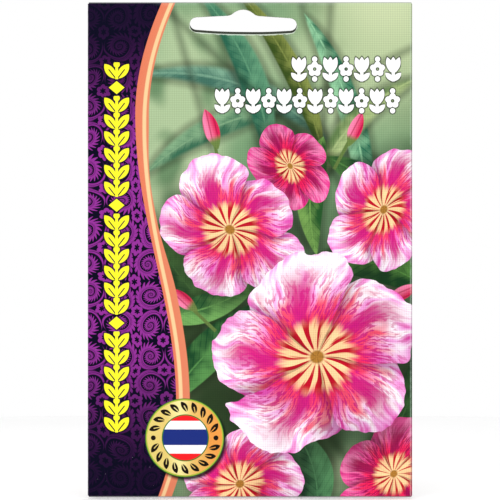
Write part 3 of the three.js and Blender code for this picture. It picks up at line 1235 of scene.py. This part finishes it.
seedLook = {
    "profile": ((-5, 0.34), (-4.6, 0.62), (-3.6, 0.9), (-2, 1.03), (0, 1.04), (2, 1.03), (3.6, 0.9),
                (4.6, 0.62), (5, 0.34)),
    "sides": 28,
    "ridges": 7,
    "ridgeDepth": 0.05,
    "hairs": 16,
    "hairRoot": 4.85,
    "hairTip": 6.72,
    "rootSpread": 0.22,
    "hairSpread": 0.6,
    "hairWidth": 0.045,
}


def mottled(name, first, second, scale, detail, roughness, specular, bumpDepth):
    grain = newMaterial(name).noise(scale, detail)
    return finish(paint(first, second, grain), roughness, specular, grain, bumpDepth)


def stood(run, middle):  # the matrix that turns a piece from +Z to a run and puts it at its middle
    return Matrix.Translation(middle) @ run.to_track_quat("Z", "Y").to_matrix().to_4x4()


def addHairs(bm, look, rng):  # a tuft at each end
    for end in [-1] * look["hairs"] + [1] * look["hairs"]:
        angle = rng.uniform(0, 2 * math.pi)
        spread = look["hairSpread"] * rng.uniform(0.2, 1)
        across = Vector((math.cos(angle), math.sin(angle), 0))
        reach = look["hairTip"] * rng.uniform(0.94, 1)
        root = across * look["rootSpread"] + Vector((0, 0, end * look["hairRoot"]))
        tip = across * spread + Vector((0, 0, end * reach))
        run = tip - root
        ends = {"radius1": look["hairWidth"], "radius2": look["hairWidth"] * 0.3}
        place = stood(run, (root + tip) / 2)
        bmesh.ops.create_cone(bm, cap_ends=True, segments=5, **ends, depth=run.length, matrix=place)


def seedPiece(cadSeed, middle, name, material, rng):
    look = seedLook
    bm = bmesh.new()
    previous = look["profile"][0]
    bmesh.ops.create_circle(bm, cap_ends=True, segments=look["sides"], radius=previous[1])
    face = bm.faces[:][0]
    for along, radius in look["profile"][1:]:
        made = bmesh.ops.extrude_face_region(bm, geom=[face, *face.edges, *face.verts])
        face = only(BMFace, made["geom"])[0]
        verts = only(BMVert, made["geom"])
        bmesh.ops.translate(bm, verts=verts, vec=(0, 0, along - previous[0]))
        share = radius / previous[1]
        bmesh.ops.scale(bm, verts=verts, vec=(share, share, 1))
        previous = (along, radius)
    for v in bm.verts:
        ridge = 1 + look["ridgeDepth"] * math.cos(look["ridges"] * math.atan2(v.co.y, v.co.x))
        v.co = (v.co.x * ridge, v.co.y * ridge, v.co.z + look["profile"][0][0])
    addHairs(bm, look, rng)
    places = sorted((v.co for v in cadSeed.data.vertices), key=lambda c: c.x)
    run = (places[-1] - places[0]).normalized()
    bmesh.ops.transform(bm, matrix=stood(run, middle), verts=bm.verts)
    bmesh.ops.recalc_face_normals(bm, faces=bm.faces)
    for f in bm.faces:
        f.smooth = len(f.verts) == 4
    piece = meshObject(name, bm)
    piece.data.materials.append(material)
    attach(piece, "root")
    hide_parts(cadSeed.name)


rng = random.Random(41)
coat = mottled("seed coat", ink(150, 112, 70), ink(196, 158, 108), 1.8, 3, 0.7, 0.3, 0.03)
for cadSeed, middle in zip(seeds, seedSpots):
    seedPiece(cadSeed, middle, cadSeed.name.replace("_", ""), coat, rng)
glue = mottled("dried glue", ink(226, 214, 178), ink(206, 188, 140), 0.6, 2, 0.4, 0.5, 0.02)
for name in ("side_seam_glue", "bottom_flap_glue", "top_flap_glue", "mouth_glue"):
    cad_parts[name].material_slots[0].material = glue
print("Seeds and glue dressed")


# Stage

view = {
    "pixel": 0.29915,
    "middleX": 2.015,
    "middleZ": -72.1,
    "lens": 200,
    "ambient": 0.78,
    "floorRadius": 420,
    "floorDrop": 0.4,
}

lights = [  # name, place from the packet's middle, aim, power and size
    ("key", (-0.35, -0.75, 0.35), (0.35, 0.75, -0.35), 1.5, 0.7),
    ("fill", (0.6, -0.6, 0.2), (-0.6, 0.6, -0.2), 0.5, 0.8),
    ("overhead", (0, -0.2, 1), (0, 0, -1), 5, 0.8),
]


def stageAndLights():
    bm = bmesh.new()
    bmesh.ops.create_circle(bm, cap_ends=True, segments=96, radius=view["floorRadius"])
    bmesh.ops.translate(bm, verts=bm.verts, vec=(0, 0, packet["bottom"] - view["floorDrop"]))
    floorDisc = meshObject("floor", bm)
    shader = newMaterial("floor")
    pale = paint(ink(250, 250, 250), ink(246, 246, 246), shader.noise(0.01))
    floorDisc.data.materials.append(finish(pale, 0.7, 0.2))

    world = bpy.data.worlds.new("studio")
    bpy.context.scene.world = world
    world.use_nodes = True
    shader = Shader(world.node_tree)
    strength = mixed(shader.node("ShaderNodeLightPath", output="Is Camera Ray"), view["ambient"], 1)
    glow = shader.node("ShaderNodeBackground", inputs={"Strength": strength, "Color": (1, 1, 1, 1)})
    shader.node("ShaderNodeOutputWorld", inputs={0: glow})

    middle = Vector((view["middleX"], 0, view["middleZ"])) * mm
    for name, place, aim, power, size in lights:
        lamp = bpy.data.lights.new(name, "AREA")
        lamp.energy = power
        lamp.size = size
        made = addObject(name, lamp)
        made.location = middle + Vector(place)
        made.rotation_euler = Vector(aim).to_track_quat("-Z", "Y").to_euler()


def camera():
    made = addObject("camera", bpy.data.cameras.new("camera"))
    made.data.lens = view["lens"]
    made.data.sensor_width = 36
    width = 500 * view["pixel"]
    distance = width * view["lens"] / made.data.sensor_width
    made.location = Vector((view["middleX"], -distance, view["middleZ"])) * mm
    made.rotation_euler = (math.pi / 2, 0, 0)
    made.data.clip_end = 10
    bpy.context.scene.camera = made
    bpy.context.scene.view_settings.view_transform = "Standard"


stageAndLights()
camera()
print("Stage set")
